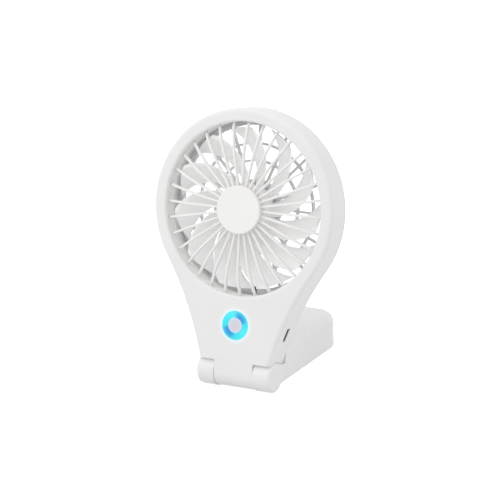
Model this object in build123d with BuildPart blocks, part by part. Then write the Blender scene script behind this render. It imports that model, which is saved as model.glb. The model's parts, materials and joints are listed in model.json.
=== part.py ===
from build123d import *
from math import asin, atan2, cos, degrees, hypot, radians, sin, sqrt
import os

# Foldable handheld fan, in millimetres.
# The fan stands on a table on its hinge ears and on two rubber feet under the handle's far end.
# +Z is up, the fan blows towards -Y, and the handle reaches back towards +Y.
# The origin is the middle of the standing fan's footprint, on the table.

# Head outline
ring_radius = 52.5
neck_flare_radius = 170.0
neck_foot_half_width = 20.8
neck_foot_above_hinge = 6.7
hinge_below_ring = 34.5
ring_to_hinge = ring_radius + hinge_below_ring
head_thickness = 17.5
front_edge_radius = 2.2
rear_edge_radius = 2.2

# Head shells
shell_wall = 1.8
face_wall = 2.0
rear_cover_depth = 2.9
shell_seam = 0.12
tongue_height = 1.6
tongue_wall = 1.0
tongue_clearance = 0.15
foot_wall = 3.8

# Front grille
ring_band = 7.0
opening_radius = ring_radius - ring_band
lip_radius = 1.4
spoke_count = 32
spoke_width = 1.2
spoke_depth = 2.2
spoke_front = 1.4
spoke_flat_radius = 27.0
spoke_bend_radius = 42.0
grille_hub_radius = 12.2
grille_hub_depth = 3.6
duct_wall = 1.4
duct_step = 0.1
hub_cap_radius = 12.6
hub_cap_thickness = 1.4
hub_cap_front = 4.0
cap_spigot_radius = 8.0
cap_spigot_length = 1.2
spigot_clearance = 0.05

# Rear grille
rear_band = 8.0
rear_opening_radius = ring_radius - rear_band
grille_seat_overlap = 2.0
seat_wall = 1.4
rear_bar_count = 16
rear_bar_width = 1.1
rear_bar_depth = 1.9
rear_ring_radii = (24.5, 33.5)
rear_ring_width = 1.2
motor_plate_radius = 14.8
motor_plate_proud = 0.8

# Impeller
blade_count = 11
blade_tip_gap = 3.1
impeller_radius = opening_radius + duct_step - blade_tip_gap
blade_thickness = 1.1
blade_front_gap = 1.2
blade_root_chord = 9.2
blade_root_pitch = 46.0
blade_inner_radius = 20.0
blade_inner_chord = 10.8
blade_inner_pitch = 36.0
blade_inner_sweep = 7.0
blade_outer_radius = 31.0
blade_outer_chord = 14.8
blade_outer_pitch = 30.0
blade_outer_sweep = 19.0
blade_tip_chord = 21.0
blade_tip_pitch = 26.0
blade_tip_sweep = 39.0
impeller_front = -3.4
impeller_depth = 10.0
impeller_hub_radius = 12.0
impeller_cup_wall = 1.1
impeller_nose_wall = 1.4
shaft_boss_radius = 2.4
shaft_boss_length = 1.1

# Motor
shaft_radius = 1.0
shaft_fit = 0.03
bearing_radius = 2.5
bearing_length = 2.6
tube_wall = 0.6
tube_front = -6.2
yoke_wall = 0.8
magnet_wall = 1.2
rotor_fit = 0.03
air_gap = 0.4
stator_height = 5.0
stator_front = -7.2
stator_yoke_radius = 5.0
pole_count = 6
pole_width = 1.8
pole_shoe_thickness = 0.8
pole_shoe_gap = 1.2
coil_radial = 1.6
coil_wrap = 0.7
motor_board_radius = 10.5
motor_board_thickness = 0.9

# Light ring, button and switch
button_below_ring = 8.5
button_to_ring = ring_radius + button_below_ring
light_ring_radius = 7.7
light_ring_bore = 4.35
light_ring_proud = 0.2
light_flange_radius = 8.6
light_flange_thickness = 1.0
moulding_fit = 0.06
button_radius = 4.05
button_proud = 0.35
button_length = 3.95
button_flange_radius = 5.0
button_flange_thickness = 0.7
button_travel = 0.6
plunger_radius = 1.7
plunger_length = 2.7
plunger_clearance = 0.3
switch_side = 6.0
switch_height = 3.5
switch_overlap = 0.7

# Control board
board_thickness = 1.2
board_below_ring = 0.5
board_top_from_ring = ring_radius + board_below_ring
board_length = 18.0
board_bottom_from_ring = board_top_from_ring + board_length
board_edge_clearance = 1.6
chip_clearance = 0.05
light_chip_count = 4
light_chip_size = 1.2
light_chip_height = 0.7
light_chip_circle = 6.0
driver_length = 6.0
driver_width = 5.0
driver_height = 1.2
coil_side = 5.0
coil_height = 2.4
board_post_radius = 2.1
board_post_u = 15.0
board_post_below_top = 4.0
board_post_from_ring = board_top_from_ring + board_post_below_top

# Micro-USB socket
usb_below_ring = 11.5
usb_from_ring = ring_radius + usb_below_ring
usb_width = 7.5
usb_height = 2.6
usb_depth = 5.6
usb_sheet = 0.3
usb_mouth_inset = 0.3
usb_hole_clearance = 0.3
tongue_width = 4.4
tongue_thickness = 0.6
tongue_length = 4.2

# Screws
screw_radius = 0.8
screw_head_radius = 1.5
screw_head_height = 0.9
head_screw_length = 9.0
board_screw_length = 5.0
screw_tip_room = 0.5
screw_hole_clearance = 0.1
boss_radius = 2.6
ring_boss_angle = 45.0
boss_from_wall = 4.9
upper_boss_in_ring = 7.5
upper_boss_from_ring = ring_radius - upper_boss_in_ring
lower_boss_above_hinge = 13.0
lower_boss_from_ring = ring_to_hinge - lower_boss_above_hinge

# Hinge
hinge_inset = 7.6
ear_radius = 8.0
ear_gap = 0.2
ear_clearance = 0.15
knuckle_half_width = 11.3
hinge_pin_radius = 3.0
hinge_pin_bore = 1.9
hinge_pin_fit = 0.05
hinge_pin_inner = 4.6
ear_end_wall = 1.75
hinge_pin_end_room = 2.8
washer_inset = 0.3
washer_radius = ear_radius - washer_inset
washer_thickness = 0.12
chamber_radius = 4.8
wire_way = 6.0

# Handle
fold_angle = 78.5
handle_width = 43.5
handle_reach = 77.0
handle_below_hinge = 5.3
handle_thickness = 18.5
cover_depth = 4.5
cover_seam = 0.06
handle_wall = 1.8
handle_corner_radius = 13.0
handle_top_radius = 4.2
handle_bottom_radius = 1.4
ear_end_radius = 1.4
head_clearance = 0.2
handle_front_wall = 2.4

# Handle screws, feet and battery
handle_boss_radius = 3.0
handle_boss_from_side = 8.75
handle_boss_front = 18.6
handle_boss_rear = 69.0
handle_screw_length = 15.5
foot_radius = 4.0
foot_from_hinge = 60.0
foot_from_side = 7.75
foot_proud = 0.4
foot_recess = 0.8
cell_from_side = 4.75
cell_length = 38.0
cell_height = 10.0
cell_from_hinge = 23.6
cell_pad_thickness = 1.0
pad_margin = 2.0
protection_from_side = 9.75
protection_length = 3.6
protection_thickness = 1.0
cell_gap = 0.3

# Wires
wire_radius = 0.6
wire_channel = 2.6
motor_lead_u = 2.7

# Lean of the handle, from its feet and hinge ears on the table
foot_drop = handle_below_hinge + foot_proud
handle_lean = degrees(asin(ear_radius / hypot(foot_from_hinge, foot_drop)) - atan2(foot_drop, foot_from_hinge))
head_lean = 90 - (fold_angle - handle_lean)
lean_sin, lean_cos = sin(radians(handle_lean)), cos(radians(handle_lean))
handle_above_hinge = handle_thickness - handle_below_hinge
far_end = (handle_reach - handle_top_radius) * lean_cos
far_end += (handle_above_hinge - handle_top_radius) * lean_sin + handle_top_radius

# Planes: face is the head's flat front with its origin at the ring's centre, deck is the handle's
# level through the hinge axis, and the side planes look along the hinge axis.
hinge_point = Vector(0, (ear_radius - far_end) / 2, ear_radius)
head_up = Vector(0, sin(radians(head_lean)), cos(radians(head_lean)))
head_front = Vector(0, -cos(radians(head_lean)), sin(radians(head_lean)))
handle_back = Vector(0, lean_cos, -lean_sin)
handle_up = Vector(0, lean_sin, lean_cos)
ring_centre = hinge_point + head_up * ring_to_hinge + head_front * hinge_inset
face = Plane(origin=ring_centre, x_dir=(1, 0, 0), z_dir=head_front)
fan_section = Plane(origin=ring_centre, x_dir=(1, 0, 0), z_dir=head_up * -1)
deck = Plane(origin=hinge_point, x_dir=(1, 0, 0), z_dir=handle_up)
head_side = Plane(origin=hinge_point, x_dir=head_front * -1, z_dir=(1, 0, 0))
handle_side = Plane(origin=hinge_point, x_dir=handle_back, z_dir=(1, 0, 0))
fan_axis = Axis(ring_centre, head_front)
deck_axis = Axis(hinge_point, handle_up)

# Levels across the head, measured from the face
shell_depth = head_thickness - rear_cover_depth - shell_seam
rear_face = -head_thickness
rear_cover_front = rear_face + rear_cover_depth
rear_plate_front = rear_face + shell_wall
rear_bar_front = rear_face + rear_bar_depth
hinge_v = -ring_to_hinge
foot_v = hinge_v + neck_foot_above_hinge
button_v = -button_to_ring
button_base = button_proud - button_length
plunger_end = button_base - button_flange_thickness - plunger_length
switch_top = plunger_end + switch_overlap
board_front = switch_top - switch_height
board_back = board_front - board_thickness
impeller_rear = impeller_front - impeller_depth
duct_radius = opening_radius + duct_step
duct_outer = duct_radius + duct_wall
grille_rim_radius = rear_opening_radius + grille_seat_overlap
screw_seat = rear_face + screw_head_height

# Screw places in the ring, and posts for the control board
ring_boss_radius = (ring_radius - shell_wall + duct_outer) / 2 + tongue_clearance
ring_boss_wall = (ring_radius - shell_wall - duct_outer) / 2
ring_screws = [
    (side * ring_boss_radius * cos(radians(ring_boss_angle)), ring_boss_radius * sin(radians(ring_boss_angle)))
    for side in (-1, 1)
]
board_posts = [(side * board_post_u, -board_post_from_ring) for side in (-1, 1)]

# Widths across the hinge and the handle
half_handle = handle_width / 2
ear_inner = knuckle_half_width + ear_gap
ear_bore_end = half_handle - ear_end_wall
hinge_pin_outer = ear_bore_end - hinge_pin_end_room
handle_boss_u = half_handle - handle_boss_from_side
foot_u = half_handle - foot_from_side
cell_width = handle_width - 2 * cell_from_side
protection_width = handle_width - 2 * protection_from_side

# Head outline: the ring's circle and a neck whose sides are arcs that leave it smoothly
flare_reach = ring_radius + neck_flare_radius
foot_distance = hypot(neck_foot_half_width, foot_v)
along_foot = (flare_reach**2 - neck_flare_radius**2 + foot_distance**2) / (2 * foot_distance)
across_foot = sqrt(flare_reach**2 - along_foot**2)
foot_unit = (neck_foot_half_width / foot_distance, foot_v / foot_distance)
flare_u = along_foot * foot_unit[0] - across_foot * foot_unit[1]
flare_v = along_foot * foot_unit[1] + across_foot * foot_unit[0]
flare_start = (flare_u * ring_radius / flare_reach, flare_v * ring_radius / flare_reach)


def neck_half_width(v):
    """Half the neck's width at a height v from the ring's centre."""
    return flare_u - sqrt(neck_flare_radius**2 - (v - flare_v) ** 2)


neck_screws = [
    (side * (neck_half_width(-from_ring) - boss_from_wall), -from_ring)
    for from_ring in (upper_boss_from_ring, lower_boss_from_ring)
    for side in (-1, 1)
]
middle_v = (flare_start[1] + foot_v) / 2
with BuildSketch() as head_outline:
    with BuildLine():
        ThreePointArc(flare_start, (neck_half_width(middle_v), middle_v), (neck_foot_half_width, foot_v))
        Line((neck_foot_half_width, foot_v), (-neck_foot_half_width, foot_v))
        ThreePointArc(
            (-neck_foot_half_width, foot_v), (-neck_half_width(middle_v), middle_v), (-flare_start[0], flare_start[1])
        )
        Line((-flare_start[0], flare_start[1]), flare_start)
    make_face()
    Circle(ring_radius)


def inset_outline(inset, floor_v):
    """The head's outline drawn in by an even inset, and cut off below floor_v."""
    with BuildSketch() as drawn_in:
        offset(head_outline.sketch, amount=-inset)
        with Locations((0, floor_v)):
            Rectangle(4 * ring_radius, 2 * ring_radius, align=(Align.CENTER, Align.MAX), mode=Mode.SUBTRACT)
    return drawn_in.sketch


def disc(level, radius, depth, mode=Mode.ADD, centre=(0, 0)):
    """A disc on the head, from a level across it and backwards by depth."""
    with BuildSketch(face.offset(level)) as round_face:
        with Locations(centre):
            Circle(radius)
    extrude(round_face.sketch, amount=-depth, mode=mode)


def hinge_disc(side, inner, outer, radius, mode=Mode.ADD):
    """A disc on the hinge axis, on one side, between two distances from the middle."""
    start = inner if side > 0 else -outer
    with BuildSketch(head_side.offset(start)) as round_face:
        Circle(radius)
    extrude(round_face.sketch, amount=outer - inner, mode=mode)


def wire_along(points, radii, radius):
    """A round wire along straight runs joined by arcs."""
    with BuildPart() as wire:
        with BuildLine() as route:
            FilletPolyline(*points, radius=radii)
        with BuildSketch(Plane(origin=route.line @ 0, z_dir=route.line % 0)):
            Circle(radius)
        sweep(path=route.line)
    return wire.part


# The knuckle's side profile: a round barrel that runs up into the neck
knuckle_radius = hinge_inset
with BuildSketch() as knuckle_profile:
    Circle(knuckle_radius)
    with Locations((0, neck_foot_above_hinge / 2 + foot_wall / 4)):
        Rectangle(2 * knuckle_radius, neck_foot_above_hinge + foot_wall / 2)

# Socket's plane on the neck's right wall, looking out of the wall, with its y axis to the front
usb_slope = (flare_v + usb_from_ring) / sqrt(neck_flare_radius**2 - (flare_v + usb_from_ring) ** 2)
usb_level = board_front + usb_height / 2
usb_side = Plane(
    origin=face.from_local_coords((neck_half_width(-usb_from_ring), -usb_from_ring, usb_level)),
    x_dir=head_up - Vector(usb_slope, 0, 0),
    z_dir=Vector(1, 0, 0) + head_up * usb_slope,
)

# Front shell
cavity_floor = foot_v + foot_wall
with BuildPart() as front_shell:
    with BuildSketch(face):
        add(head_outline.sketch)
    extrude(amount=-shell_depth)
    front_rim = front_shell.faces().sort_by(fan_axis)[-1].outer_wire().edges().filter_by(GeomType.LINE, reverse=True)
    fillet(front_rim, radius=front_edge_radius)
    with BuildSketch(face.offset(-face_wall)):
        add(inset_outline(shell_wall, cavity_floor))
    extrude(amount=face_wall - shell_depth, mode=Mode.SUBTRACT)
    disc(0, opening_radius, face_wall, Mode.SUBTRACT)
    lip = front_shell.edges().filter_by(GeomType.CIRCLE).filter_by(lambda e: abs(e.radius - opening_radius) < 0.01)
    fillet(lip.sort_by(fan_axis)[-1], radius=lip_radius)
    # hinge knuckle, front half
    with BuildSketch(head_side.offset(-knuckle_half_width)):
        add(knuckle_profile.sketch)
        with Locations((0, 0)):
            Rectangle(
                2 * ring_radius, 2 * ring_radius, align=(Align.MIN, Align.CENTER), mode=Mode.SUBTRACT
            )
    extrude(amount=2 * knuckle_half_width)
    # room for the ears
    for side in (-1, 1):
        hinge_disc(
            side, knuckle_half_width, neck_foot_half_width + shell_wall, ear_radius + ear_clearance, Mode.SUBTRACT
        )
    # screw bosses and board posts
    boss_depth = shell_depth - face_wall - tongue_height
    for place in ring_screws:
        disc(-face_wall, ring_boss_wall, boss_depth, centre=place)
    for place in neck_screws:
        disc(-face_wall, boss_radius, boss_depth, centre=place)
    for place in board_posts:
        disc(-face_wall, board_post_radius, -face_wall - board_front, centre=place)
    boss_end = -face_wall - boss_depth
    hole_end = screw_seat + head_screw_length + screw_tip_room
    for place in ring_screws + neck_screws:
        disc(hole_end, screw_radius, hole_end - boss_end, Mode.SUBTRACT, centre=place)
    post_hole_end = board_back + board_screw_length + screw_tip_room
    for place in board_posts:
        disc(post_hole_end, screw_radius, post_hole_end - board_front, Mode.SUBTRACT, centre=place)
    # light ring's hole and the socket's hole
    disc(0, light_ring_radius + moulding_fit, face_wall, Mode.SUBTRACT, centre=(0, button_v))
    with BuildSketch(usb_side):
        Rectangle(usb_width + 2 * usb_hole_clearance, usb_height + 2 * usb_hole_clearance)
    extrude(amount=2 * shell_wall, both=True, mode=Mode.SUBTRACT)
    # pin seats and wire chamber
    hinge_disc(-1, 0, knuckle_half_width, hinge_pin_radius, Mode.SUBTRACT)
    hinge_disc(1, 0, knuckle_half_width, hinge_pin_radius, Mode.SUBTRACT)
    for side in (-1, 1):
        hinge_disc(side, 0, hinge_pin_inner, chamber_radius, Mode.SUBTRACT)
    with BuildSketch(Plane(origin=hinge_point, x_dir=(1, 0, 0), z_dir=head_up)):
        Rectangle(wire_way, wire_way)
    extrude(amount=cavity_floor - hinge_v, mode=Mode.SUBTRACT)
front_shell.part.label = "front_shell"

# Front grille: domed spokes with a hub, and the duct wall that they join
bend_run = duct_radius + duct_wall / 2 - spoke_flat_radius
bend_drop = spoke_bend_radius - sqrt(spoke_bend_radius**2 - bend_run**2)
half_run = bend_run / 2
half_drop = spoke_bend_radius - sqrt(spoke_bend_radius**2 - half_run**2)
spoke_end = spoke_flat_radius + bend_run
with BuildPart() as front_grille:
    with BuildSketch(fan_section):
        with BuildLine():
            Line((0, spoke_front), (spoke_flat_radius, spoke_front))
            ThreePointArc(
                (spoke_flat_radius, spoke_front),
                (spoke_flat_radius + half_run, spoke_front - half_drop),
                (spoke_end, spoke_front - bend_drop),
            )
            Line((spoke_end, spoke_front - bend_drop), (spoke_end, spoke_front - bend_drop - spoke_depth))
            ThreePointArc(
                (spoke_end, spoke_front - bend_drop - spoke_depth),
                (spoke_flat_radius + half_run, spoke_front - half_drop - spoke_depth),
                (spoke_flat_radius, spoke_front - spoke_depth),
            )
            Line((spoke_flat_radius, spoke_front - spoke_depth), (0, spoke_front - spoke_depth))
            Line((0, spoke_front - spoke_depth), (0, spoke_front))
        make_face()
    revolve(axis=fan_axis)
    with BuildSketch(face.offset(spoke_front)):
        with PolarLocations(0, spoke_count):
            Rectangle(spoke_end + spoke_width, spoke_width, align=(Align.MIN, Align.CENTER))
    extrude(amount=-bend_drop - 2 * spoke_depth, mode=Mode.INTERSECT)
    hub_front = hub_cap_front - hub_cap_thickness
    disc(hub_front, grille_hub_radius, grille_hub_depth)
    disc(hub_front, cap_spigot_radius + spigot_clearance, cap_spigot_length, Mode.SUBTRACT)
    with BuildSketch(face.offset(-face_wall)):
        Circle(duct_outer)
        Circle(duct_radius, mode=Mode.SUBTRACT)
    extrude(amount=face_wall - shell_depth)
    with BuildSketch(face.offset(-shell_depth)):
        with Locations((motor_lead_u, -duct_radius)):
            Rectangle(wire_channel, 4 * duct_wall)
    extrude(amount=wire_channel / 2, mode=Mode.SUBTRACT)
front_grille.part.label = "front_grille"

# Hub cap, with a spigot that presses into the grille's hub
with BuildPart() as hub_cap:
    disc(hub_cap_front, hub_cap_radius, hub_cap_thickness)
    fillet(hub_cap.edges().sort_by(fan_axis)[-1], radius=hub_cap_thickness / 3)
    disc(hub_front, cap_spigot_radius, cap_spigot_length)
hub_cap.part.label = "hub_cap"

# Rear shell: a shallow cover with a tongue, the grille's seat and the knuckle's rear half
seat_outer = grille_rim_radius + moulding_fit + seat_wall
with BuildPart() as rear_shell:
    with BuildSketch(face.offset(rear_cover_front)):
        add(head_outline.sketch)
    extrude(amount=-rear_cover_depth)
    rear_rim = rear_shell.faces().sort_by(fan_axis)[0].outer_wire().edges().filter_by(GeomType.LINE, reverse=True)
    fillet(rear_rim, radius=rear_edge_radius)
    with BuildSketch(face.offset(rear_cover_front)):
        add(
            inset_outline(shell_wall + tongue_clearance + tongue_wall, cavity_floor + tongue_clearance + tongue_wall)
        )
        Circle(seat_outer, mode=Mode.SUBTRACT)
    extrude(amount=shell_wall - rear_cover_depth, mode=Mode.SUBTRACT)
    with BuildSketch(face.offset(rear_cover_front)):
        add(inset_outline(shell_wall + tongue_clearance, cavity_floor + tongue_clearance))
        add(
            inset_outline(shell_wall + tongue_clearance + tongue_wall, cavity_floor + tongue_clearance + tongue_wall),
            mode=Mode.SUBTRACT,
        )
    extrude(amount=tongue_height)
    disc(rear_cover_front, rear_opening_radius, rear_cover_depth, Mode.SUBTRACT)
    # hinge knuckle, rear half
    with BuildSketch(head_side.offset(-knuckle_half_width)):
        add(knuckle_profile.sketch)
        with Locations((0, 0)):
            Rectangle(
                2 * ring_radius, 2 * ring_radius, align=(Align.MAX, Align.CENTER), mode=Mode.SUBTRACT
            )
        with Locations((-shell_seam, foot_v - hinge_v - shell_seam)):
            Rectangle(
                shell_depth - hinge_inset + 2 * shell_seam,
                ring_radius,
                align=(Align.MIN, Align.MIN),
                mode=Mode.SUBTRACT,
            )
    extrude(amount=2 * knuckle_half_width)
    for side in (-1, 1):
        hinge_disc(
            side, knuckle_half_width, neck_foot_half_width + shell_wall, ear_radius + ear_clearance, Mode.SUBTRACT
        )
        hinge_disc(side, 0, knuckle_half_width, hinge_pin_radius, Mode.SUBTRACT)
        hinge_disc(side, 0, hinge_pin_inner, chamber_radius, Mode.SUBTRACT)
    # room for the front shell's screw bosses and for the screws
    for place in ring_screws + neck_screws:
        disc(
            rear_cover_front + tongue_height,
            boss_radius + tongue_clearance,
            tongue_height,
            Mode.SUBTRACT,
            centre=place,
        )
    for place in ring_screws + neck_screws:
        disc(rear_cover_front, screw_head_radius + tongue_wall, rear_cover_depth - shell_wall, centre=place)
        disc(
            rear_cover_front + tongue_height,
            screw_radius + screw_hole_clearance,
            rear_cover_depth + tongue_height,
            Mode.SUBTRACT,
            centre=place,
        )
        disc(screw_seat, screw_head_radius + screw_hole_clearance, screw_head_height, Mode.SUBTRACT, centre=place)
    disc(rear_cover_front, grille_rim_radius + moulding_fit, rear_cover_depth - shell_wall / 2, Mode.SUBTRACT)
    # ways for the motor's lead and the head's lead
    with BuildSketch(face.offset(rear_cover_front)):
        with Locations((motor_lead_u, -grille_rim_radius)):
            Rectangle(2 * wire_channel, 8 * seat_wall)
    extrude(amount=rear_plate_front - rear_cover_front, mode=Mode.SUBTRACT)
    with BuildSketch(Plane(origin=hinge_point, x_dir=(1, 0, 0), z_dir=head_up)):
        Rectangle(wire_way, wire_way)
    extrude(amount=cavity_floor - hinge_v, mode=Mode.SUBTRACT)
rear_shell.part.label = "rear_shell"

# Rear grille: rim, rings, radial bars and the plate that carries the motor
with BuildSketch() as rear_bars:
    for ring in sorted(rear_ring_radii, reverse=True):
        Circle(ring + rear_ring_width / 2)
        Circle(ring - rear_ring_width / 2, mode=Mode.SUBTRACT)
    with PolarLocations(0, rear_bar_count):
        Rectangle(rear_opening_radius - seat_wall / 2, rear_bar_width, align=(Align.MIN, Align.CENTER))
with BuildPart() as rear_grille:
    with BuildSketch(face.offset(rear_bar_front)):
        add(rear_bars.sketch)
    extrude(amount=-rear_bar_depth)
    with BuildSketch(face.offset(rear_cover_front)):
        Circle(rear_opening_radius - moulding_fit)
        Circle(rear_opening_radius - seat_wall, mode=Mode.SUBTRACT)
    extrude(amount=-rear_cover_depth)
    with BuildSketch(face.offset(rear_cover_front)):
        Circle(grille_rim_radius)
        Circle(rear_opening_radius - seat_wall, mode=Mode.SUBTRACT)
    extrude(amount=shell_wall / 2 + moulding_fit - rear_cover_depth)
    disc(rear_bar_front, motor_plate_radius, rear_bar_depth + motor_plate_proud)
    fillet(rear_grille.edges().sort_by(fan_axis)[0], radius=motor_plate_proud * 0.9)
    tube_radius = bearing_radius + tube_wall
    disc(rear_bar_front, tube_radius, rear_bar_depth, Mode.SUBTRACT)
    with BuildSketch(face.offset(rear_cover_front)):
        with Locations((motor_lead_u, -grille_rim_radius)):
            Rectangle(wire_channel, 8 * seat_wall)
    extrude(amount=rear_plate_front - rear_cover_front, mode=Mode.SUBTRACT)
rear_grille.part.label = "rear_grille"

# Impeller blade: thin pitched sections from root to tip, each turned on round the axis
blade_sections = (
    (impeller_hub_radius - 1.0, blade_root_chord, blade_root_pitch, 0.0),
    (blade_inner_radius, blade_inner_chord, blade_inner_pitch, blade_inner_sweep),
    (blade_outer_radius, blade_outer_chord, blade_outer_pitch, blade_outer_sweep),
    (impeller_radius + 1.5, blade_tip_chord, blade_tip_pitch, blade_tip_sweep),
)
blade_middle = (impeller_front + impeller_rear) / 2
with BuildPart() as blade:
    for radius, chord, pitch, turn in blade_sections:
        outwards = Vector(1, 0, 0) * cos(radians(turn)) + head_up * sin(radians(turn))
        section_origin = ring_centre + outwards * radius + head_front * blade_middle
        with BuildSketch(Plane(origin=section_origin, x_dir=head_front.cross(outwards), z_dir=outwards)):
            SlotOverall(chord, blade_thickness, rotation=-pitch)
    loft()
    with BuildSketch(face.offset(impeller_front - blade_front_gap)):
        Circle(impeller_radius)
    extrude(amount=blade_front_gap - impeller_depth, mode=Mode.INTERSECT)

# Impeller
cup_bore = impeller_hub_radius - impeller_cup_wall
with BuildPart() as impeller:
    disc(impeller_front, impeller_hub_radius, impeller_depth)
    fillet(impeller.edges().sort_by(fan_axis)[-1], radius=impeller_nose_wall * 0.9)
    for number in range(blade_count):
        add(blade.part.rotate(fan_axis, number * 360 / blade_count))
    disc(impeller_front - impeller_nose_wall, cup_bore, impeller_depth - impeller_nose_wall, Mode.SUBTRACT)
    disc(impeller_front - impeller_nose_wall, shaft_boss_radius, shaft_boss_length)
    disc(impeller_front - impeller_nose_wall / 2, shaft_radius, impeller_depth, Mode.SUBTRACT)
impeller.part.label = "impeller"


def rotor_ring(outer, wall, name):
    """A ring inside the impeller's cup."""
    front = impeller_front - impeller_nose_wall - rotor_fit
    with BuildPart() as ring:
        with BuildSketch(face.offset(front)):
            Circle(outer)
            Circle(outer - wall, mode=Mode.SUBTRACT)
        extrude(amount=impeller_nose_wall + 2 * rotor_fit - impeller_depth)
    ring.part.label = name
    return ring.part


yoke_outer = cup_bore - rotor_fit
magnet_outer = yoke_outer - yoke_wall - rotor_fit
rotor_yoke = rotor_ring(yoke_outer, yoke_wall, "rotor_yoke")
magnet_ring = rotor_ring(magnet_outer, magnet_wall, "magnet_ring")

# Motor shaft, pressed into the impeller and running in the sleeve bearings
shaft_front = impeller_front - impeller_nose_wall / 2
shaft_rear = rear_face + shell_wall / 2
with BuildPart() as motor_shaft:
    disc(shaft_front, shaft_radius, shaft_front - shaft_rear)
motor_shaft.part.label = "motor_shaft"

# Bearing tube, standing in the rear grille's plate
with BuildPart() as bearing_tube:
    with BuildSketch(face.offset(tube_front)):
        Circle(tube_radius)
        Circle(bearing_radius, mode=Mode.SUBTRACT)
    extrude(amount=rear_face - tube_front)
bearing_tube.part.label = "bearing_tube"

# Two sleeve bearings, one at each end of the tube
with BuildPart() as sleeve_bearings:
    for level in (tube_front, rear_bar_front + bearing_length / 2):
        with BuildSketch(face.offset(level)):
            Circle(bearing_radius)
            Circle(shaft_radius + shaft_fit, mode=Mode.SUBTRACT)
        extrude(amount=-bearing_length)
sleeve_bearings.part.label = "sleeve_bearings"

# Stator: a laminated core with salient poles, and a coil round each pole
stator_radius = magnet_outer - magnet_wall - air_gap
with BuildPart() as stator_core:
    with BuildSketch(face.offset(stator_front)):
        Circle(stator_radius)
        Circle(stator_radius - pole_shoe_thickness, mode=Mode.SUBTRACT)
        with PolarLocations(0, pole_count, start_angle=180 / pole_count):
            Rectangle(2 * stator_radius, pole_shoe_gap, align=(Align.MIN, Align.CENTER), mode=Mode.SUBTRACT)
        Circle(stator_yoke_radius)
        with PolarLocations(0, pole_count):
            Rectangle(stator_radius - pole_shoe_thickness / 2, pole_width, align=(Align.MIN, Align.CENTER))
        Circle(tube_radius, mode=Mode.SUBTRACT)
    extrude(amount=-stator_height)
stator_core.part.label = "stator_core"

coil_middle = (stator_yoke_radius + stator_radius - pole_shoe_thickness) / 2
with BuildPart() as stator_coils:
    with BuildSketch(face.offset(stator_front + coil_wrap)):
        with PolarLocations(coil_middle, pole_count):
            Rectangle(coil_radial, pole_width + 2 * coil_wrap)
    extrude(amount=-stator_height - 2 * coil_wrap)
    with BuildSketch(face.offset(stator_front + chip_clearance)):
        with PolarLocations(coil_middle, pole_count):
            Rectangle(2 * coil_radial, pole_width + 2 * chip_clearance)
    extrude(amount=-stator_height - 2 * chip_clearance, mode=Mode.SUBTRACT)
stator_coils.part.label = "stator_coils"

# Round board under the stator
with BuildPart() as motor_board:
    with BuildSketch(face.offset(rear_bar_front + motor_board_thickness)):
        Circle(motor_board_radius)
        Circle(tube_radius + moulding_fit, mode=Mode.SUBTRACT)
    extrude(amount=-motor_board_thickness)
motor_board.part.label = "motor_board"

# Light ring, behind the face on its flange
button_centre = (0, button_v)
with BuildPart() as light_ring:
    disc(light_ring_proud, light_ring_radius, light_ring_proud + face_wall, centre=button_centre)
    disc(-face_wall, light_flange_radius, light_flange_thickness, centre=button_centre)
    fillet(light_ring.edges().sort_by(fan_axis)[-1], radius=light_ring_proud)
    disc(light_ring_proud, light_ring_bore, head_thickness, Mode.SUBTRACT, centre=button_centre)
light_ring.part.label = "light_ring"

# Button cap with its flange
with BuildPart() as button_cap:
    disc(button_proud, button_radius, button_length, centre=button_centre)
    fillet(button_cap.edges().sort_by(fan_axis)[-1], radius=button_proud)
    disc(button_base, button_flange_radius, button_flange_thickness, centre=button_centre)
button_cap.part.label = "button_cap"

with BuildPart() as switch_plunger:
    disc(button_base - button_flange_thickness, plunger_radius, plunger_length, centre=button_centre)
switch_plunger.part.label = "switch_plunger"

# Tact switch on the board, with the well that its plunger moves in
with BuildPart() as tact_switch:
    with BuildSketch(face.offset(switch_top)):
        with Locations(button_centre):
            Rectangle(switch_side, switch_side)
    extrude(amount=-switch_height)
    well_depth = switch_overlap + button_travel + plunger_clearance
    disc(switch_top, plunger_radius + plunger_clearance, well_depth, Mode.SUBTRACT, centre=button_centre)
tact_switch.part.label = "tact_switch"

# Control board, drawn in from the neck's walls
with BuildPart() as control_board:
    with BuildSketch(face.offset(board_front)):
        add(inset_outline(shell_wall + board_edge_clearance, -board_bottom_from_ring))
        with Locations((0, -board_top_from_ring)):
            Rectangle(4 * ring_radius, 4 * ring_radius, align=(Align.CENTER, Align.MIN), mode=Mode.SUBTRACT)
    extrude(amount=-board_thickness)
    for place in board_posts:
        disc(board_front, screw_radius + screw_hole_clearance, board_thickness, Mode.SUBTRACT, centre=place)
control_board.part.label = "control_board"

# Light chips under the light ring
with BuildPart() as light_chips:
    with BuildSketch(face.offset(board_front + light_chip_height)):
        with Locations(button_centre):
            with PolarLocations(light_chip_circle, light_chip_count, start_angle=45):
                Rectangle(light_chip_size, light_chip_size)
    extrude(amount=-light_chip_height)
light_chips.part.label = "light_chips"

# Driver chips and the charger's coil, on the board's rear side
with BuildPart() as board_chips:
    with BuildSketch(face.offset(board_back)):
        with Locations((-board_post_u / 2, button_v), (board_post_u / 2, button_v)):
            Rectangle(driver_width, driver_length)
    extrude(amount=-driver_height)
    with BuildSketch(face.offset(board_back)):
        with Locations((board_post_u, button_v - driver_length)):
            Rectangle(coil_side, coil_side)
    extrude(amount=-coil_height)
board_chips.part.label = "board_chips"

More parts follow.
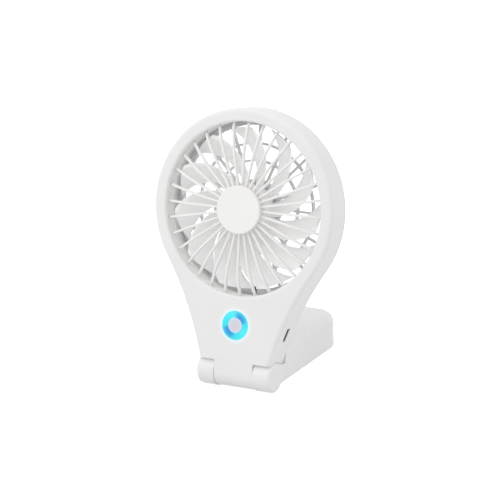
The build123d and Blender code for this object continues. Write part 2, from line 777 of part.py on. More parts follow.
# Micro-USB socket: its mouth stands just inside the wall's outer surface
with BuildPart() as usb_socket:
    with BuildSketch(usb_side.offset(-usb_mouth_inset)):
        Rectangle(usb_width, usb_height)
    extrude(amount=-usb_depth)
    with BuildSketch(usb_side.offset(-usb_mouth_inset)):
        Rectangle(usb_width - 2 * usb_sheet, usb_height - 2 * usb_sheet)
    extrude(amount=usb_sheet - usb_depth, mode=Mode.SUBTRACT)
usb_socket.part.label = "usb_socket"

with BuildPart() as usb_tongue:
    with BuildSketch(usb_side.offset(usb_sheet - usb_mouth_inset - usb_depth)):
        Rectangle(tongue_width, tongue_thickness)
    extrude(amount=tongue_length)
usb_tongue.part.label = "usb_tongue"


def head_screw_set(places, seat, length, name):
    """Screws driven forwards from the back of the head, heads on the level seat."""
    with BuildPart() as screws:
        for place in places:
            disc(seat, screw_head_radius, screw_head_height, centre=place)
            disc(seat + length, screw_radius, length, centre=place)
    screws.part.label = name
    return screws.part


head_screws = head_screw_set(
    ring_screws + neck_screws, screw_seat, head_screw_length, "head_screws"
)
board_screws = head_screw_set(board_posts, board_back, board_screw_length, "board_screws")

# Hinge pins: hollow, pressed into the knuckle and running in the ears
with BuildPart() as hinge_pins:
    for side in (-1, 1):
        hinge_disc(side, hinge_pin_inner, hinge_pin_outer, hinge_pin_radius)
        hinge_disc(side, hinge_pin_inner, hinge_pin_outer, hinge_pin_bore, Mode.SUBTRACT)
hinge_pins.part.label = "hinge_pins"

# Friction washers between the knuckle and the ears
washer_start = knuckle_half_width + (ear_gap - washer_thickness) / 2
with BuildPart() as hinge_washers:
    for side in (-1, 1):
        hinge_disc(side, washer_start, washer_start + washer_thickness, washer_radius)
        hinge_disc(
            side, washer_start, washer_start + washer_thickness, hinge_pin_radius + hinge_pin_fit, Mode.SUBTRACT
        )
hinge_washers.part.label = "hinge_washers"

# Handle outline: square at the hinge, round-cornered at the far end
with BuildSketch() as handle_outline:
    with Locations((0, 0)):
        Rectangle(handle_width, handle_reach, align=(Align.CENTER, Align.MIN))
    fillet(handle_outline.vertices().group_by(Axis.Y)[-1], radius=handle_corner_radius)


def handle_inside(inset, front):
    """The handle's outline drawn in by inset, and cut off before the distance front."""
    with BuildSketch() as drawn_in:
        offset(handle_outline.sketch, amount=-inset)
        with Locations((0, front)):
            Rectangle(4 * handle_width, 4 * handle_width, align=(Align.CENTER, Align.MAX), mode=Mode.SUBTRACT)
    return drawn_in.sketch


def clear_of_head(half_width, floor_v):
    """Cut away what would lie in front of the head's back, above floor_v, and keep a clearance to it."""
    with BuildSketch(face.offset(rear_face - head_clearance)) as front_wall:
        with Locations((0, floor_v)):
            Rectangle(2 * half_width, 4 * handle_width, align=(Align.CENTER, Align.MIN))
    extrude(front_wall.sketch, amount=4 * handle_width, mode=Mode.SUBTRACT)


base_top = handle_above_hinge - cover_depth
cover_bottom = base_top + cover_seam
inside_floor = handle_wall - handle_below_hinge
front_inside = handle_front_wall + head_thickness - hinge_inset + head_clearance
front_inside += base_top * cos(radians(fold_angle))
handle_screw_places = [
    (side * handle_boss_u, along) for along in (handle_boss_front, handle_boss_rear) for side in (-1, 1)
]
foot_places = [(side * foot_u, foot_from_hinge) for side in (-1, 1)]


def deck_disc(level, radius, height, mode=Mode.ADD, places=((0, 0),)):
    """Discs on the handle, from a level above the hinge axis and upwards by height."""
    with BuildSketch(deck.offset(level)) as round_faces:
        with Locations(*places):
            Circle(radius)
    extrude(round_faces.sketch, amount=height, mode=mode)


# Hinge ears, with rounded outer ends
with BuildPart() as ears:
    for side in (-1, 1):
        hinge_disc(side, ear_inner, half_handle, ear_radius)
    ear_ends = ears.edges().filter_by(GeomType.CIRCLE).filter_by(lambda e: abs(e.center().X) > ear_inner + 1)
    fillet(ear_ends, radius=ear_end_radius)

# Handle base: a deep tub with the two hinge ears
with BuildPart() as handle_base:
    with BuildSketch(deck.offset(-handle_below_hinge)):
        add(handle_outline.sketch)
    extrude(amount=base_top + handle_below_hinge)
    far_and_side = handle_base.edges().group_by(deck_axis)[0].sort_by(Axis(hinge_point, handle_back))[1:]
    fillet(far_and_side, radius=handle_bottom_radius)
    clear_of_head(handle_width, foot_v - head_clearance)
    clear_of_head(ear_inner, hinge_v - ring_radius)
    with BuildSketch(deck.offset(inside_floor)):
        add(handle_inside(handle_wall, front_inside))
    extrude(amount=base_top - inside_floor, mode=Mode.SUBTRACT)
    add(ears.part)
    for side in (-1, 1):
        hinge_disc(side, ear_inner, ear_bore_end, hinge_pin_radius + hinge_pin_fit, Mode.SUBTRACT)
    # wire's way from the tub into one ear
    with BuildSketch(deck.offset(-wire_channel / 2)):
        with Locations((-ear_bore_end, 0)):
            Rectangle(wire_channel, front_inside + handle_wall, align=(Align.MIN, Align.MIN))
    extrude(amount=wire_channel, mode=Mode.SUBTRACT)
    # screw bosses, screw holes and the feet's recesses
    deck_disc(inside_floor, handle_boss_radius, base_top - inside_floor, places=handle_screw_places)
    deck_disc(
        -handle_below_hinge,
        screw_radius + screw_hole_clearance,
        handle_thickness - cover_depth,
        Mode.SUBTRACT,
        handle_screw_places,
    )
    deck_disc(
        -handle_below_hinge,
        screw_head_radius + screw_hole_clearance,
        screw_head_height,
        Mode.SUBTRACT,
        handle_screw_places,
    )
    deck_disc(-handle_below_hinge, foot_radius + moulding_fit, foot_recess, Mode.SUBTRACT, foot_places)
handle_base.part.label = "handle_base"

# Handle cover: a shallow lid with round edges and four screw posts
with BuildPart() as handle_cover:
    with BuildSketch(deck.offset(cover_bottom)):
        add(handle_outline.sketch)
    extrude(amount=handle_above_hinge - cover_bottom)
    top_rim = handle_cover.edges().group_by(deck_axis)[-1].sort_by(Axis(hinge_point, handle_back))[1:]
    fillet(top_rim, radius=handle_top_radius)
    clear_of_head(handle_width, hinge_v)
    with BuildSketch(deck.offset(cover_bottom)):
        add(handle_inside(handle_top_radius, front_inside + handle_wall))
    extrude(amount=cover_depth - cover_seam - handle_wall, mode=Mode.SUBTRACT)
    deck_disc(cover_bottom, handle_boss_radius, cover_depth - cover_seam - handle_wall, places=handle_screw_places)
    deck_disc(cover_bottom, screw_radius, cover_depth - cover_seam - handle_wall, Mode.SUBTRACT, handle_screw_places)
handle_cover.part.label = "handle_cover"

# Handle screws, driven up from the underside
handle_screw_seat = screw_head_height - handle_below_hinge
with BuildPart() as handle_screws:
    deck_disc(-handle_below_hinge, screw_head_radius, screw_head_height, places=handle_screw_places)
    deck_disc(handle_screw_seat, screw_radius, handle_screw_length, places=handle_screw_places)
handle_screws.part.label = "handle_screws"

# Rubber feet: discs in shallow recesses, their undersides level with the table
with BuildPart() as rubber_feet:
    deck_disc(
        -handle_below_hinge - 3 * foot_proud, foot_radius, foot_recess + 3 * foot_proud, places=foot_places
    )
    with BuildSketch(Plane.XY):
        with Locations((0, hinge_point.Y + foot_from_hinge)):
            Rectangle(2 * handle_width, 4 * foot_radius)
    extrude(amount=-ear_radius, mode=Mode.SUBTRACT)
rubber_feet.part.label = "rubber_feet"

# Battery cell on its pad, and its protection board
cell_bottom = inside_floor + cell_pad_thickness
with BuildPart() as battery_pad:
    with BuildSketch(deck.offset(inside_floor)):
        with Locations((0, cell_from_hinge + pad_margin / 2)):
            Rectangle(cell_width - pad_margin, cell_length - pad_margin, align=(Align.CENTER, Align.MIN))
    extrude(amount=cell_pad_thickness)
battery_pad.part.label = "battery_pad"

with BuildPart() as battery_cell:
    with BuildSketch(deck.offset(cell_bottom)):
        with Locations((0, cell_from_hinge)):
            Rectangle(cell_width, cell_length, align=(Align.CENTER, Align.MIN))
    extrude(amount=cell_height)
    fillet(battery_cell.edges().filter_by(Axis((0, 0, 0), handle_back)), radius=cell_height / 4)
battery_cell.part.label = "battery_cell"

protection_level = inside_floor + cell_pad_thickness + cell_height / 2
with BuildPart() as protection_board:
    with BuildSketch(deck.offset(inside_floor)):
        with Locations((0, cell_from_hinge - cell_gap)):
            Rectangle(protection_width, protection_thickness, align=(Align.CENTER, Align.MAX))
    extrude(amount=protection_level - inside_floor + protection_length)
protection_board.part.label = "protection_board"

# Motor's lead: from the round board, over the lowest rear bar, to the control board
motor_wire_level = rear_bar_front + wire_radius + chip_clearance
board_wire_level = board_back - wire_radius - chip_clearance
motor_lead_points = [
    (motor_lead_u, -sqrt(motor_board_radius**2 - motor_lead_u**2) - wire_radius / 2, motor_wire_level),
    (motor_lead_u, -duct_outer - duct_wall, motor_wire_level),
    (motor_lead_u, -board_top_from_ring - wire_radius, board_wire_level),
    (motor_lead_u, -board_top_from_ring - 2 * wire_channel, board_wire_level),
]
motor_lead = wire_along([face.from_local_coords(point) for point in motor_lead_points], 2.0, wire_radius)
motor_lead.label = "motor_lead"

# Battery's lead: from the protection board into one ear, then along the hinge axis
ear_wire_u = wire_channel / 2 - ear_bore_end
board_along = cell_from_hinge - cell_gap - protection_thickness / 2
battery_lead_points = [
    (-protection_width / 2, board_along, 0),
    (ear_wire_u, board_along, 0),
    (ear_wire_u, 0, 0),
    (-wire_channel, 0, 0),
]
battery_lead = wire_along([deck.from_local_coords(point) for point in battery_lead_points], 2.2, wire_radius)
battery_lead.label = "battery_lead"

# Head's lead: from the end of the battery's lead up to the control board
head_lead_points = [
    (chip_clearance - wire_channel, hinge_v, -hinge_inset),
    (0, hinge_v, -hinge_inset),
    (0, cavity_floor, -hinge_inset),
    (0, -board_bottom_from_ring - wire_channel / 2, board_wire_level),
    (0, -board_bottom_from_ring + wire_channel, board_wire_level),
]
head_lead = wire_along([face.from_local_coords(point) for point in head_lead_points], 1.2, wire_radius)
head_lead.label = "head_lead"

pieces = [
    front_shell.part,
    front_grille.part,
    hub_cap.part,
    rear_shell.part,
    rear_grille.part,
    impeller.part,
    rotor_yoke,
    magnet_ring,
    motor_shaft.part,
    bearing_tube.part,
    sleeve_bearings.part,
    stator_core.part,
    stator_coils.part,
    motor_board.part,
    light_ring.part,
    button_cap.part,
    switch_plunger.part,
    tact_switch.part,
    control_board.part,
    light_chips.part,
    board_chips.part,
    usb_socket.part,
    usb_tongue.part,
    head_screws,
    board_screws,
    hinge_pins.part,
    hinge_washers.part,
    handle_base.part,
    handle_cover.part,
    handle_screws.part,
    rubber_feet.part,
    battery_pad.part,
    battery_cell.part,
    protection_board.part,
    motor_lead,
    battery_lead,
    head_lead,
]
os.makedirs("parts", exist_ok=True)
for piece in pieces:
    export_step(piece, f"parts/{piece.label}.step")
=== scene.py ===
import json
import math

import bmesh
import bpy
from mathutils import Matrix, Vector


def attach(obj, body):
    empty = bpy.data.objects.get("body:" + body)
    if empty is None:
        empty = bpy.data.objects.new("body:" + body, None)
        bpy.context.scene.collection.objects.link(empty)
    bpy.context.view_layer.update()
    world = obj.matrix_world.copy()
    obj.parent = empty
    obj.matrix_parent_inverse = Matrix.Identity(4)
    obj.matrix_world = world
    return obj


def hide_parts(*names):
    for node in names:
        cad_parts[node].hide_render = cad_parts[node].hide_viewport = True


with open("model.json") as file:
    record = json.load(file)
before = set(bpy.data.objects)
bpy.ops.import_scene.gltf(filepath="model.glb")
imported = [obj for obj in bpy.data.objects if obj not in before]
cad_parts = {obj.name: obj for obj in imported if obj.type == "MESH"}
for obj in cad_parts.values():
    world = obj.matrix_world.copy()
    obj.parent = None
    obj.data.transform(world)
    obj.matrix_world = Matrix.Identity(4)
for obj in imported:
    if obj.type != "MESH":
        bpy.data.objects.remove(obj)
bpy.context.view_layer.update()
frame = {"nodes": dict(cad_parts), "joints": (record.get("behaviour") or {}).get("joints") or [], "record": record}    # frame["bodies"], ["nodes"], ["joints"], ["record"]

nodes = frame["nodes"]
joints = {joint["name"]: joint for joint in frame["joints"]}

# The head's own frame, from the impeller's axis: right, back into the head, and up in its face
ring_centre = Vector(joints["impeller_spin"]["pos_m"])
head_front = Vector(joints["impeller_spin"]["axis"]).normalized()
head_back = -head_front
head_right = Vector((1, 0, 0))
head_up = head_right.cross(head_back)
button_place = Vector(joints["button_press"]["pos_m"])
handle_lean = math.radians(2.2009)
handle_down = Vector((0, -math.sin(handle_lean), -math.cos(handle_lean)))


def head_dir(x, y, z):
    """A direction given in the head's frame (right, back, up)."""
    return head_right * x + head_back * y + head_up * z


# Camera
camera_turns = (-28.087, 7.519, 3.080)
camera_shift = Vector((-0.00453, 1.2950, 0.02109))
camera_lens = 180.0
camera_sensor = 36.0
camera_far = 20.0


def turned(angles):
    """The rotation from the head's frame to the camera's, turns about z, x and y in that order."""
    about_z, about_x, about_y = (math.radians(a) for a in angles)
    turn_y = Matrix.Rotation(about_y, 3, "Y")
    turn_x = Matrix.Rotation(about_x, 3, "X")
    turn_z = Matrix.Rotation(about_z, 3, "Z")
    return turn_y @ turn_x @ turn_z


view_back = turned(camera_turns).transposed()
eye = ring_centre + head_dir(*(-(view_back @ camera_shift)))
right = head_dir(*(view_back @ Vector((1, 0, 0))))
forward = head_dir(*(view_back @ Vector((0, 1, 0))))
up = head_dir(*(view_back @ Vector((0, 0, 1))))
camera_data = bpy.data.cameras.new("camera")
camera_data.sensor_width = camera_sensor
camera_data.lens = camera_lens
camera_data.clip_end = camera_far
camera = bpy.data.objects.new("camera", camera_data)
bpy.context.scene.collection.objects.link(camera)
axes = Matrix((right, up, -forward)).transposed().to_4x4()
camera.matrix_world = Matrix.Translation(eye) @ axes
bpy.context.scene.camera = camera


# Materials
cloud_scale = 35.0
cloud_detail = 3.0
gloss_spread = 0.04
grain_scale = 4000.0
grain_detail = 2.0
grain_depth = 0.0002
color_spread = 0.015


def material(name, color, rough, bump=0.02, **sockets):
    """Moulded plastic and the like: slight cloud in the colour and gloss, and a fine moulded grain."""
    mat = bpy.data.materials.new(name)
    mat.use_nodes = True
    tree = mat.node_tree
    shader = tree.nodes["Principled BSDF"]
    place = tree.nodes.new("ShaderNodeTexCoord")
    cloud = tree.nodes.new("ShaderNodeTexNoise")
    cloud.inputs["Scale"].default_value = cloud_scale
    cloud.inputs["Detail"].default_value = cloud_detail
    tree.links.new(place.outputs["Object"], cloud.inputs["Vector"])
    shade = tree.nodes.new("ShaderNodeValToRGB")
    dark = [c * (1 - color_spread) for c in color]
    light = [min(1.0, c * (1 + color_spread)) for c in color]
    shade.color_ramp.elements[0].position = 0.3
    shade.color_ramp.elements[1].position = 0.7
    shade.color_ramp.elements[0].color = (*dark, 1)
    shade.color_ramp.elements[1].color = (*light, 1)
    tree.links.new(cloud.outputs["Fac"], shade.inputs["Fac"])
    tree.links.new(shade.outputs["Color"], shader.inputs["Base Color"])
    gloss = tree.nodes.new("ShaderNodeMapRange")
    gloss.inputs["To Min"].default_value = rough - gloss_spread
    gloss.inputs["To Max"].default_value = rough + gloss_spread
    tree.links.new(cloud.outputs["Fac"], gloss.inputs["Value"])
    tree.links.new(gloss.outputs["Result"], shader.inputs["Roughness"])
    speck = tree.nodes.new("ShaderNodeTexNoise")
    speck.inputs["Scale"].default_value = grain_scale
    speck.inputs["Detail"].default_value = grain_detail
    tree.links.new(place.outputs["Object"], speck.inputs["Vector"])
    relief = tree.nodes.new("ShaderNodeBump")
    relief.inputs["Strength"].default_value = bump
    relief.inputs["Distance"].default_value = grain_depth
    tree.links.new(speck.outputs["Fac"], relief.inputs["Height"])
    tree.links.new(relief.outputs["Normal"], shader.inputs["Normal"])
    for socket, value in sockets.items():
        shader.inputs[socket.replace("_", " ")].default_value = value
    return mat


shell_color = (0.86, 0.86, 0.855)
shell_rough = 0.42
# Faint emission on the blades is painted light: it brightens them where they lie in shade.
blade_painted_light = {"Emission_Color": (1, 0.98, 0.97, 1), "Emission_Strength": 0.07}
finishes = {
    "white_shell": material("white_shell", shell_color, shell_rough),
    "white_grille": material("white_grille", (0.92, 0.915, 0.90), 0.38),
    "grey_grille": material("grey_grille", (0.74, 0.74, 0.75), 0.5),
    "grey_blade": material("grey_blade", (0.90, 0.895, 0.895), 0.35, **blade_painted_light),
    "button_white": material("button_white", (0.70, 0.70, 0.77), 0.3),
    "steel": material("steel", (0.55, 0.55, 0.56), 0.35, Metallic=1.0),
    "laminated_steel": material("laminated_steel", (0.32, 0.32, 0.34), 0.5, Metallic=1.0),
    "magnet": material("magnet", (0.06, 0.06, 0.065), 0.6),
    "brass": material("brass", (0.72, 0.5, 0.2), 0.35, Metallic=1.0),
    "copper": material("copper", (0.6, 0.25, 0.12), 0.35, Metallic=1.0),
    "board": material("board", (0.01, 0.11, 0.04), 0.35),
    "black_plastic": material("black_plastic", (0.012, 0.012, 0.014), 0.45),
    "chip_white": material("chip_white", (0.8, 0.8, 0.65), 0.3),
    "cell_wrap": material("cell_wrap", (0.06, 0.14, 0.4), 0.35),
    "foam": material("foam", (0.03, 0.03, 0.03), 0.9, bump=0.3),
    "feet_rubber": material("feet_rubber", (0.022, 0.022, 0.024), 0.75, bump=0.1),
    "black_wire": material("black_wire", (0.01, 0.01, 0.01), 0.45),
    "nylon": material("nylon", (0.62, 0.6, 0.55), 0.5),
    "light_cyan": material("light_cyan", (0.05, 0.65, 0.8), 0.25),
    # The face shell's own copy of the white plastic, which carries the ring's spill light painted as
    # emission
    "face_shell_painted_spill": material("face_shell_painted_spill", shell_color, shell_rough),
}

# Glow of the light ring, distances in metres from the button's centre
cyan = (0.02, 0.83, 0.93, 1)
blue = (0.01, 0.33, 0.80, 1)
pale = (0.08, 0.93, 1.0, 1)
unlit_color = (0.01, 0.05, 0.06, 1)
ring_strength = 0.85
arc_inner = 0.0054
arc_outer = 0.0086
arc_stops = (
    (0.06, blue),
    (0.17, blue),
    (0.28, cyan),
    (0.42, pale),
    (0.51, cyan),
    (0.59, blue),
    (0.68, blue),
    (0.79, pale),
)
# Strength of the ring's spill light, painted as emission on the face round the ring and on the
# button's rim
painted_spill_strength = 0.16


def ring_glow(mat, centre):
    """Cyan glow with two bluer arcs on the inner side of the ring."""
    tree = mat.node_tree
    shader = tree.nodes["Principled BSDF"]
    place = tree.nodes.new("ShaderNodeTexCoord")
    across = tree.nodes.new("ShaderNodeVectorMath")
    across.operation = "SUBTRACT"
    across.inputs[1].default_value = centre
    tree.links.new(place.outputs["Object"], across.inputs[0])
    flat = tree.nodes.new("ShaderNodeCombineXYZ")
    for axis, socket in ((head_right, "X"), (head_up, "Y")):
        dot = tree.nodes.new("ShaderNodeVectorMath")
        dot.operation = "DOT_PRODUCT"
        dot.inputs[1].default_value = axis
        tree.links.new(across.outputs[0], dot.inputs[0])
        tree.links.new(dot.outputs["Value"], flat.inputs[socket])
    angle = tree.nodes.new("ShaderNodeTexGradient")
    angle.gradient_type = "RADIAL"
    tree.links.new(flat.outputs[0], angle.inputs["Vector"])
    colors = tree.nodes.new("ShaderNodeValToRGB")
    ramp = colors.color_ramp
    ramp.interpolation = "EASE"
    ramp.elements[0].color = cyan
    ramp.elements[1].color = cyan
    for position, color in arc_stops:
        ramp.elements.new(position).color = color
    tree.links.new(angle.outputs["Fac"], colors.inputs["Fac"])
    radius = tree.nodes.new("ShaderNodeVectorMath")
    radius.operation = "LENGTH"
    tree.links.new(flat.outputs[0], radius.inputs[0])
    outward = tree.nodes.new("ShaderNodeMapRange")
    outward.interpolation_type = "SMOOTHSTEP"
    outward.inputs["From Min"].default_value = arc_inner
    outward.inputs["From Max"].default_value = arc_outer
    tree.links.new(radius.outputs["Value"], outward.inputs["Value"])
    blend = tree.nodes.new("ShaderNodeMix")
    blend.data_type = "RGBA"
    tree.links.new(outward.outputs["Result"], blend.inputs[0])
    tree.links.new(colors.outputs["Color"], blend.inputs[6])
    blend.inputs[7].default_value = pale
    tree.links.new(blend.outputs[2], shader.inputs["Emission Color"])
    shader.inputs["Emission Strength"].default_value = ring_strength
    shader.inputs["Base Color"].default_value = unlit_color
    for link in list(shader.inputs["Base Color"].links):
        tree.links.remove(link)


def painted_spill_glow(mat, centre, lit, unlit, color):
    """Paints the light ring's spill light as emission on the plastic beside it, from the lit to the
    unlit radius.
    """
    tree = mat.node_tree
    shader = tree.nodes["Principled BSDF"]
    place = tree.nodes.new("ShaderNodeTexCoord")
    away = tree.nodes.new("ShaderNodeVectorMath")
    away.operation = "DISTANCE"
    away.inputs[1].default_value = centre
    tree.links.new(place.outputs["Object"], away.inputs[0])
    fade = tree.nodes.new("ShaderNodeMapRange")
    fade.interpolation_type = "SMOOTHSTEP"
    fade.inputs["From Min"].default_value = lit
    fade.inputs["From Max"].default_value = unlit
    fade.inputs["To Min"].default_value = painted_spill_strength
    fade.inputs["To Max"].default_value = 0.0
    tree.links.new(away.outputs["Value"], fade.inputs["Value"])
    shader.inputs["Emission Color"].default_value = color
    tree.links.new(fade.outputs["Result"], shader.inputs["Emission Strength"])


# Painted light: the ring's spill light painted as emission on the face shell round the ring and on the
# button's rim
painted_spill_glow(finishes["face_shell_painted_spill"], button_place, 0.0076, 0.0105, (0.25, 0.75, 1.0, 1))
painted_spill_glow(finishes["button_white"], button_place, 0.0040, 0.0022, (0.10, 0.42, 1.0, 1))
ring_glow(finishes["light_cyan"], button_place)
for part in frame["record"]["subparts"]:
    mesh = nodes[part["node"]].data
    mesh.materials.clear()
    finish = "face_shell_painted_spill" if part["node"] == "front_shell" else part["material_slot"]
    mesh.materials.append(finishes[finish])


# Pieces made here, sizes in millimetres
def head_point(across, rise, out):
    """A point of the head in metres from millimetres: right, up in its face and out of its front."""
    return ring_centre + (head_right * across + head_up * rise + head_front * out) / 1000


def new_piece(name, verts, faces, mat, body, slot):
    """A smooth mesh piece that rides on a CAD body."""
    mesh = bpy.data.meshes.new(name)
    mesh.from_pydata([tuple(v) for v in verts], [], faces)
    work = bmesh.new()
    work.from_mesh(mesh)
    bmesh.ops.recalc_face_normals(work, faces=work.faces)
    work.to_mesh(mesh)
    work.free()
    for face in mesh.polygons:
        face.use_smooth = True
    mesh.materials.append(mat)
    obj = bpy.data.objects.new(name, mesh)
    bpy.context.scene.collection.objects.link(obj)
    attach(obj, body)
    return obj


def revolved(profile, steps):
    """Closed ring of (radius, out) points turned round the fan's axis: vertices and faces."""
    verts, faces = [], []
    count = len(profile)
    for step in range(steps):
        turn = 2 * math.pi * step / steps
        for radius, out in profile:
            verts.append(head_point(radius * math.cos(turn), radius * math.sin(turn), out))
    for step in range(steps):
        here, there = step * count, (step + 1) % steps * count
        for k in range(count):
            n = (k + 1) % count
            faces.append((here + k, here + n, there + n, there + k))
    return verts, faces


def joined(shapes):
    """Several (vertices, faces) shapes as one."""
    verts, faces = [], []
    for more_verts, more_faces in shapes:
        start = len(verts)
        verts += more_verts
        faces += [tuple(start + index for index in face) for face in more_faces]
    return verts, faces


# Front grille: rounded spokes that bow over to the duct wall, the hub and the duct wall
spoke_count = 32
spoke_start = 10.0
spoke_end = 46.2
spoke_flat_radius = 27.0
spoke_bend = 42.0
spoke_front = 1.38
spoke_half_depth = 1.08
spoke_half_width = 0.62
spoke_widening = 0.06
spoke_steps = 18
spoke_sides = 12
spoke_squareness = 0.6
hub_steps = 128
hub_profile = (
    (1.0, 2.55),
    (11.6, 2.55),
    (12.05, 2.35),
    (12.15, 1.9),
    (12.15, -0.7),
    (11.7, -0.98),
    (1.0, -0.98),
)
duct_steps = 192
duct_inner = 45.65
duct_outer = 46.95
duct_front = -2.05
duct_back = -14.2
duct_profile = (
    (duct_inner, duct_front),
    (duct_outer, duct_front),
    (duct_outer, duct_back),
    (duct_inner, duct_back),
)


def squared(value):
    """A cosine or sine pushed outwards, for a round section that is nearer to a square."""
    return math.copysign(abs(value) ** spoke_squareness, value)


def spoke(turn):
    """One spoke of the front grille: vertices and faces."""
    verts, faces = [], []
    for step in range(spoke_steps + 1):
        radius = spoke_start + (spoke_end - spoke_start) * step / spoke_steps
        run = max(0.0, radius - spoke_flat_radius)
        front = spoke_front - (spoke_bend - math.sqrt(spoke_bend * spoke_bend - run * run))
        wide = spoke_half_width + spoke_widening * step / spoke_steps
        for k in range(spoke_sides):
            a = 2 * math.pi * k / spoke_sides
            across = wide * squared(math.cos(a))
            deep = spoke_half_depth * squared(math.sin(a))
            x = radius * math.cos(turn) - across * math.sin(turn)
            y = radius * math.sin(turn) + across * math.cos(turn)
            verts.append(head_point(x, y, front - spoke_half_depth + deep))
    for step in range(spoke_steps):
        here, there = step * spoke_sides, (step + 1) * spoke_sides
        for k in range(spoke_sides):
            n = (k + 1) % spoke_sides
            faces.append((here + k, here + n, there + n, there + k))
    faces.append(tuple(range(spoke_sides)))
    faces.append(tuple(spoke_steps * spoke_sides + k for k in range(spoke_sides)))
    return verts, faces


shapes = [spoke(2 * math.pi * k / spoke_count) for k in range(spoke_count)]
shapes.append(revolved(hub_profile, hub_steps))
shapes.append(revolved(duct_profile, duct_steps))
grille = new_piece("grille_front", *joined(shapes), finishes["white_grille"], "head", "white_grille")
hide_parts("front_grille")


# Cross-recessed heads stand for the plain screws in the head's back and under the handle
screw_radius = 1.48
screw_height = 0.62
screw_edge_height = 0.42
screw_shoulder_height = 0.6
screw_shoulder = 0.86
screw_steps = 24
recess_reach = 0.95
recess_waist = 0.36
recess_arm = 0.96
recess_taper = 0.8
recess_rim_floor = 0.12
recess_floor = 0.1
shank_radius = 0.78
shank_short_by = 0.9
shank_steps = 16
shank_taper = 0.8
rim_depth = 1e-5


def screw_head(place, out):
    """A pan head seen from outside, with a cross sunk in it."""
    across = out.orthogonal().normalized()
    along = out.cross(across)
    verts, faces = [], []
    for k in range(screw_steps):
        a = 2 * math.pi * k / screw_steps
        spin = across * math.cos(a) + along * math.sin(a)
        arm = max(abs(math.cos(a)), abs(math.sin(a)))
        inside = recess_reach if arm > recess_arm else recess_reach * recess_waist
        rims = (
            (screw_radius, 0.0),
            (screw_radius, screw_edge_height),
            (screw_radius * screw_shoulder, screw_shoulder_height),
            (inside, screw_height),
            (inside * recess_taper, recess_rim_floor),
        )
        verts += [place + (spin * r + out * h) / 1000 for r, h in rims]
    verts.append(place + out * recess_floor / 1000)
    centre = len(verts) - 1
    rows = centre // screw_steps
    for k in range(screw_steps):
        here, there = k * rows, (k + 1) % screw_steps * rows
        for j in range(rows - 1):
            faces.append((here + j, there + j, there + j + 1, here + j + 1))
        faces.append((here + rows - 1, there + rows - 1, centre))
    return verts, faces


def shank(start, along, length):
    """A round shank with closed ends that narrows to its tip."""
    across = along.orthogonal().normalized()
    other = along.cross(across)
    verts, faces = [], []
    for k in range(shank_steps):
        a = 2 * math.pi * k / shank_steps
        spin = (across * math.cos(a) + other * math.sin(a)) * shank_radius / 1000
        verts += [start + spin, start + along * (length / 1000) + spin * shank_taper]
    for k in range(shank_steps):
        n = (k + 1) % shank_steps
        faces.append((2 * k, 2 * n, 2 * n + 1, 2 * k + 1))
    faces.append(tuple(2 * k for k in range(shank_steps)))
    faces.append(tuple(2 * k + 1 for k in range(shank_steps)))
    return verts, faces


def mesh_islands(node):
    """The points of each separate solid of a CAD node."""
    work = bmesh.new()
    work.from_mesh(nodes[node].data)
    bmesh.ops.remove_doubles(work, verts=work.verts, dist=1e-6)
    left = set(work.verts)
    groups = []
    for start in work.verts:
        if start not in left:
            continue
        left.remove(start)
        stack = [start]
        group = [start.co.copy()]
        while stack:
            for edge in stack.pop().link_edges:
                for vert in edge.verts:
                    if vert in left:
                        left.remove(vert)
                        stack.append(vert)
                        group.append(vert.co.copy())
        groups.append(group)
    work.free()
    return groups


def cross_heads(name, node, out, body):
    """Recessed screw heads and shanks in the places of a CAD node's screws."""
    shapes = []
    for group in mesh_islands(node):
        depth = [point.dot(out) for point in group]
        top, tip = max(depth), min(depth)
        rim = [point for point, level in zip(group, depth) if level > top - rim_depth]
        seat = sum(rim, Vector()) / len(rim) - out * screw_height / 1000
        shapes.append(screw_head(seat, out))
        shapes.append(shank(seat, -out, (top - tip) * 1000 - shank_short_by))
    piece = new_piece(name, *joined(shapes), finishes["steel"], body, "steel")
    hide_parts(node)


cross_heads("screws_back", "head_screws", head_back, "head")
cross_heads("screws_under", "handle_screws", handle_down, "handle")


# Floor, white to the camera, and the world's soft light
floor_half = 3.0
floor_color = (0.68, 0.68, 0.68, 1)
floor_rough = 0.9
floor_white = 0.85
sky_light = 0.92
sky_white = 1.0
white = (1, 1, 1, 1)


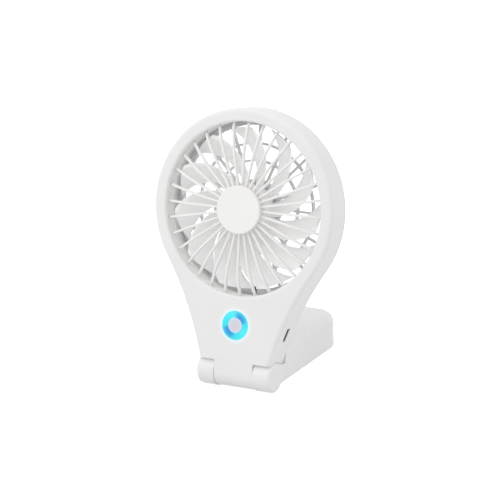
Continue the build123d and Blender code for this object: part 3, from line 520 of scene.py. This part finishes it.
def seen_directly(tree):
    """One for rays from the camera or off a gloss, else nought."""
    rays = tree.nodes.new("ShaderNodeLightPath")
    seen = tree.nodes.new("ShaderNodeMath")
    seen.operation = "MAXIMUM"
    tree.links.new(rays.outputs["Is Camera Ray"], seen.inputs[0])
    tree.links.new(rays.outputs["Is Glossy Ray"], seen.inputs[1])
    return seen.outputs[0]


floor_mesh = bpy.data.meshes.new("floor")
floor_corners = [
    (-floor_half, -floor_half, 0),
    (floor_half, -floor_half, 0),
    (floor_half, floor_half, 0),
    (-floor_half, floor_half, 0),
]
floor_mesh.from_pydata(floor_corners, [], [(0, 1, 2, 3)])
floor = bpy.data.objects.new("floor", floor_mesh)
bpy.context.scene.collection.objects.link(floor)
floor_mat = bpy.data.materials.new("floor")
floor_mat.use_nodes = True
tree = floor_mat.node_tree
shader = tree.nodes["Principled BSDF"]
shader.inputs["Base Color"].default_value = floor_color
shader.inputs["Roughness"].default_value = floor_rough
level = tree.nodes.new("ShaderNodeMath")
level.operation = "MULTIPLY"
level.inputs[1].default_value = floor_white
tree.links.new(seen_directly(tree), level.inputs[0])
shader.inputs["Emission Color"].default_value = white
tree.links.new(level.outputs[0], shader.inputs["Emission Strength"])
floor_mesh.materials.append(floor_mat)

world = bpy.data.worlds.new("world")
bpy.context.scene.world = world
world.use_nodes = True
tree = world.node_tree
sky = tree.nodes["Background"]
sky.inputs["Color"].default_value = white
power = tree.nodes.new("ShaderNodeMapRange")
power.inputs["To Min"].default_value = sky_light
power.inputs["To Max"].default_value = sky_white
tree.links.new(seen_directly(tree), power.inputs["Value"])
tree.links.new(power.outputs["Result"], sky.inputs["Strength"])

# Key lamp, soft and square, aimed at the object's middle
key_place = Vector((-0.55, -0.8, 1.0))
key_target = Vector((0, 0, 0.075))
key_size = 0.7
key_watts = 2.5
key_data = bpy.data.lights.new("key", "AREA")
key_data.size = key_size
key_data.energy = key_watts
key = bpy.data.objects.new("key", key_data)
bpy.context.scene.collection.objects.link(key)
key.location = key_place
key.rotation_euler = (key_target - key_place).to_track_quat("-Z", "Y").to_euler()

view = bpy.context.scene.view_settings
view.view_transform = "Standard"
